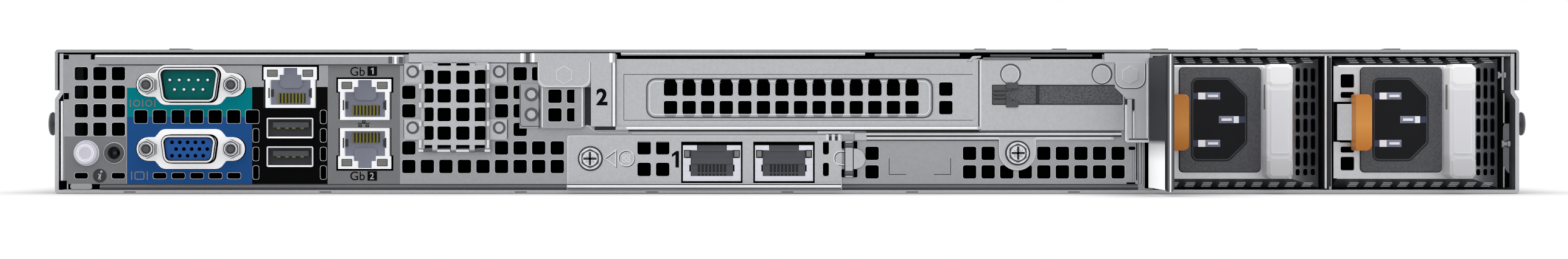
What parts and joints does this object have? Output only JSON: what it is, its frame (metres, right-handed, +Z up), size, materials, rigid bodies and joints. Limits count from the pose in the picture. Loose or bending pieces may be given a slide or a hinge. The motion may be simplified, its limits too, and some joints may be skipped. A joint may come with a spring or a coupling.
{
  "type": "rack server",
  "caption": "Flat rack server in a folded steel chassis, with pull-out power supplies, hot-swap drives, a latched sliding cover, riser slot blanks and rear display, serial and network ports.",
  "frame": {"origin": "middle of the whole length and width, on the underside of the chassis", "axes": "+Y towards the drives at the front, +Z up, +X to the right seen from behind"},
  "size_m": [0.482, 0.7946, 0.0428],
  "materials": {
    "galvanised_steel": "galvanised, satin, faint spangle",
    "bracket_steel": "bright zinc, satin",
    "bright_steel": "nickel plated, bright",
    "supply_case": "satin sheet",
    "drive_metal": "satin, dark carrier front",
    "fin_aluminium": "bare",
    "teal_plastic": "moulded",
    "blue_plastic": "moulded",
    "jack_plastic": "moulded",
    "jack_shield": "bright stamped shield",
    "contact_gold": "gold flashed",
    "grey_plastic": "moulded",
    "dark_plastic": "fine texture",
    "button_white": "translucent",
    "board_green": "laminate",
    "inlet_plastic": "fine texture",
    "handle_plastic": "moulded, light",
    "orange_plastic": "moulded"
  },
  "bodies": {
    "chassis": {"chassis_tray": "galvanised_steel", "rear_panel": "galvanised_steel", "psu_cage": "galvanised_steel", "vent_blank": "galvanised_steel", "riveted_bracket": "galvanised_steel", "riser_cage": "bracket_steel", "slot_blank": "galvanised_steel", "riser_blank": "bracket_steel", "riser_bracket": "bracket_steel", "retainer_strip": "dark_plastic", "riser_rail": "bracket_steel", "network_bracket": "bracket_steel", "network_jacks": "jack_shield", "card_clip": "bracket_steel", "captive_screws": "bright_steel", "serial_port": "bright_steel", "serial_insert": "teal_plastic", "video_port": "bright_steel", "video_insert": "blue_plastic", "port_standoffs": "bright_steel", "network_ports": "jack_plastic", "jack_contacts": "contact_gold", "usb_ports": "bright_steel", "usb_inserts": "grey_plastic", "status_jack": "dark_plastic", "system_board": "board_green", "heat_sinks": "fin_aluminium", "memory_modules": "board_green", "fan_housings": "dark_plastic", "drive_backplane": "board_green", "drive_cage": "galvanised_steel", "front_panel": "dark_plastic", "rack_ears": "dark_plastic", "rail_studs": "bright_steel"},
    "cover": {"top_cover": "galvanised_steel"},
    "cover_latch": {"cover_latch": "dark_plastic"},
    "id_button": {"id_button": "button_white"},
    "power_button": {"power_button": "button_white"},
    "fan_rotor_1": {"fan_rotor_1": "dark_plastic"},
    "fan_rotor_2": {"fan_rotor_2": "dark_plastic"},
    "fan_rotor_3": {"fan_rotor_3": "dark_plastic"},
    "fan_rotor_4": {"fan_rotor_4": "dark_plastic"},
    "fan_rotor_5": {"fan_rotor_5": "dark_plastic"},
    "psu_1": {"psu_1_case": "supply_case", "psu_1_inlet": "inlet_plastic", "psu_1_handle": "handle_plastic"},
    "psu_1_latch": {"psu_1_latch": "orange_plastic"},
    "psu_2": {"psu_2_case": "supply_case", "psu_2_inlet": "inlet_plastic", "psu_2_handle": "handle_plastic"},
    "psu_2_latch": {"psu_2_latch": "orange_plastic"},
    "drive_1": {"drive_1": "drive_metal"},
    "drive_lever_1": {"drive_lever_1": "dark_plastic"},
    "drive_2": {"drive_2": "drive_metal"},
    "drive_lever_2": {"drive_lever_2": "dark_plastic"},
    "drive_3": {"drive_3": "drive_metal"},
    "drive_lever_3": {"drive_lever_3": "dark_plastic"},
    "drive_4": {"drive_4": "drive_metal"},
    "drive_lever_4": {"drive_lever_4": "dark_plastic"}
  },
  "joints": [
    {"name": "cover_slide", "type": "slide", "parent": "chassis", "child": "cover", "axis": [0, -1, 0], "range_m": [0, 0.013]},
    {"name": "cover_latch_hinge", "type": "hinge", "parent": "cover", "child": "cover_latch", "pos_m": [0, -0.02438, 0.0392], "axis": [1, 0, 0], "range_deg": [0, 70]},
    {"name": "id_button_press", "type": "slide", "parent": "chassis", "child": "id_button", "axis": [0, 1, 0], "range_m": [0, 0.001], "stiffness_N_per_m": 300},
    {"name": "power_button_press", "type": "slide", "parent": "chassis", "child": "power_button", "axis": [0, -1, 0], "range_m": [0, 0.001], "stiffness_N_per_m": 300},
    {"name": "fan_1_spin", "type": "hinge", "parent": "chassis", "child": "fan_rotor_1", "pos_m": [-0.156, 0.12982, 0.0209], "axis": [0, 1, 0], "continuous": true},
    {"name": "fan_2_spin", "type": "hinge", "parent": "chassis", "child": "fan_rotor_2", "pos_m": [-0.078, 0.12982, 0.0209], "axis": [0, 1, 0], "continuous": true},
    {"name": "fan_3_spin", "type": "hinge", "parent": "chassis", "child": "fan_rotor_3", "pos_m": [0, 0.12982, 0.0209], "axis": [0, 1, 0], "continuous": true},
    {"name": "fan_4_spin", "type": "hinge", "parent": "chassis", "child": "fan_rotor_4", "pos_m": [0.078, 0.12982, 0.0209], "axis": [0, 1, 0], "continuous": true},
    {"name": "fan_5_spin", "type": "hinge", "parent": "chassis", "child": "fan_rotor_5", "pos_m": [0.156, 0.12982, 0.0209], "axis": [0, 1, 0], "continuous": true},
    {"name": "psu_1_slide", "type": "slide", "parent": "chassis", "child": "psu_1", "axis": [0, -1, 0], "range_m": [0, 0.19]},
    {"name": "psu_1_release", "type": "hinge", "parent": "psu_1", "child": "psu_1_latch", "pos_m": [0.1105, -0.34048, 0.02115], "axis": [0, 0, 1], "range_deg": [0, 4], "stiffness_Nm_per_rad": 3},
    {"name": "psu_2_slide", "type": "slide", "parent": "chassis", "child": "psu_2", "axis": [0, -1, 0], "range_m": [0, 0.19]},
    {"name": "psu_2_release", "type": "hinge", "parent": "psu_2", "child": "psu_2_latch", "pos_m": [0.16416, -0.34048, 0.02115], "axis": [0, 0, 1], "range_deg": [0, 4], "stiffness_Nm_per_rad": 3},
    {"name": "drive_1_slide", "type": "slide", "parent": "chassis", "child": "drive_1", "axis": [0, 1, 0], "range_m": [0, 0.15]},
    {"name": "drive_1_lever", "type": "hinge", "parent": "drive_1", "child": "drive_lever_1", "pos_m": [-0.1126, 0.38953, 0.0203], "axis": [0, 0, -1], "range_deg": [0, 60]},
    {"name": "drive_2_slide", "type": "slide", "parent": "chassis", "child": "drive_2", "axis": [0, 1, 0], "range_m": [0, 0.15]},
    {"name": "drive_2_lever", "type": "hinge", "parent": "drive_2", "child": "drive_lever_2", "pos_m": [-0.007, 0.38953, 0.0203], "axis": [0, 0, -1], "range_deg": [0, 60]},
    {"name": "drive_3_slide", "type": "slide", "parent": "chassis", "child": "drive_3", "axis": [0, 1, 0], "range_m": [0, 0.15]},
    {"name": "drive_3_lever", "type": "hinge", "parent": "drive_3", "child": "drive_lever_3", "pos_m": [0.0986, 0.38953, 0.0203], "axis": [0, 0, -1], "range_deg": [0, 60]},
    {"name": "drive_4_slide", "type": "slide", "parent": "chassis", "child": "drive_4", "axis": [0, 1, 0], "range_m": [0, 0.15]},
    {"name": "drive_4_lever", "type": "hinge", "parent": "drive_4", "child": "drive_lever_4", "pos_m": [0.2042, 0.38953, 0.0203], "axis": [0, 0, -1], "range_deg": [0, 60]}
  ],
  "couplings": [
    {"joint": "cover_latch_hinge", "follows": "cover_slide", "rad_per_m": 93.9}
  ]
}
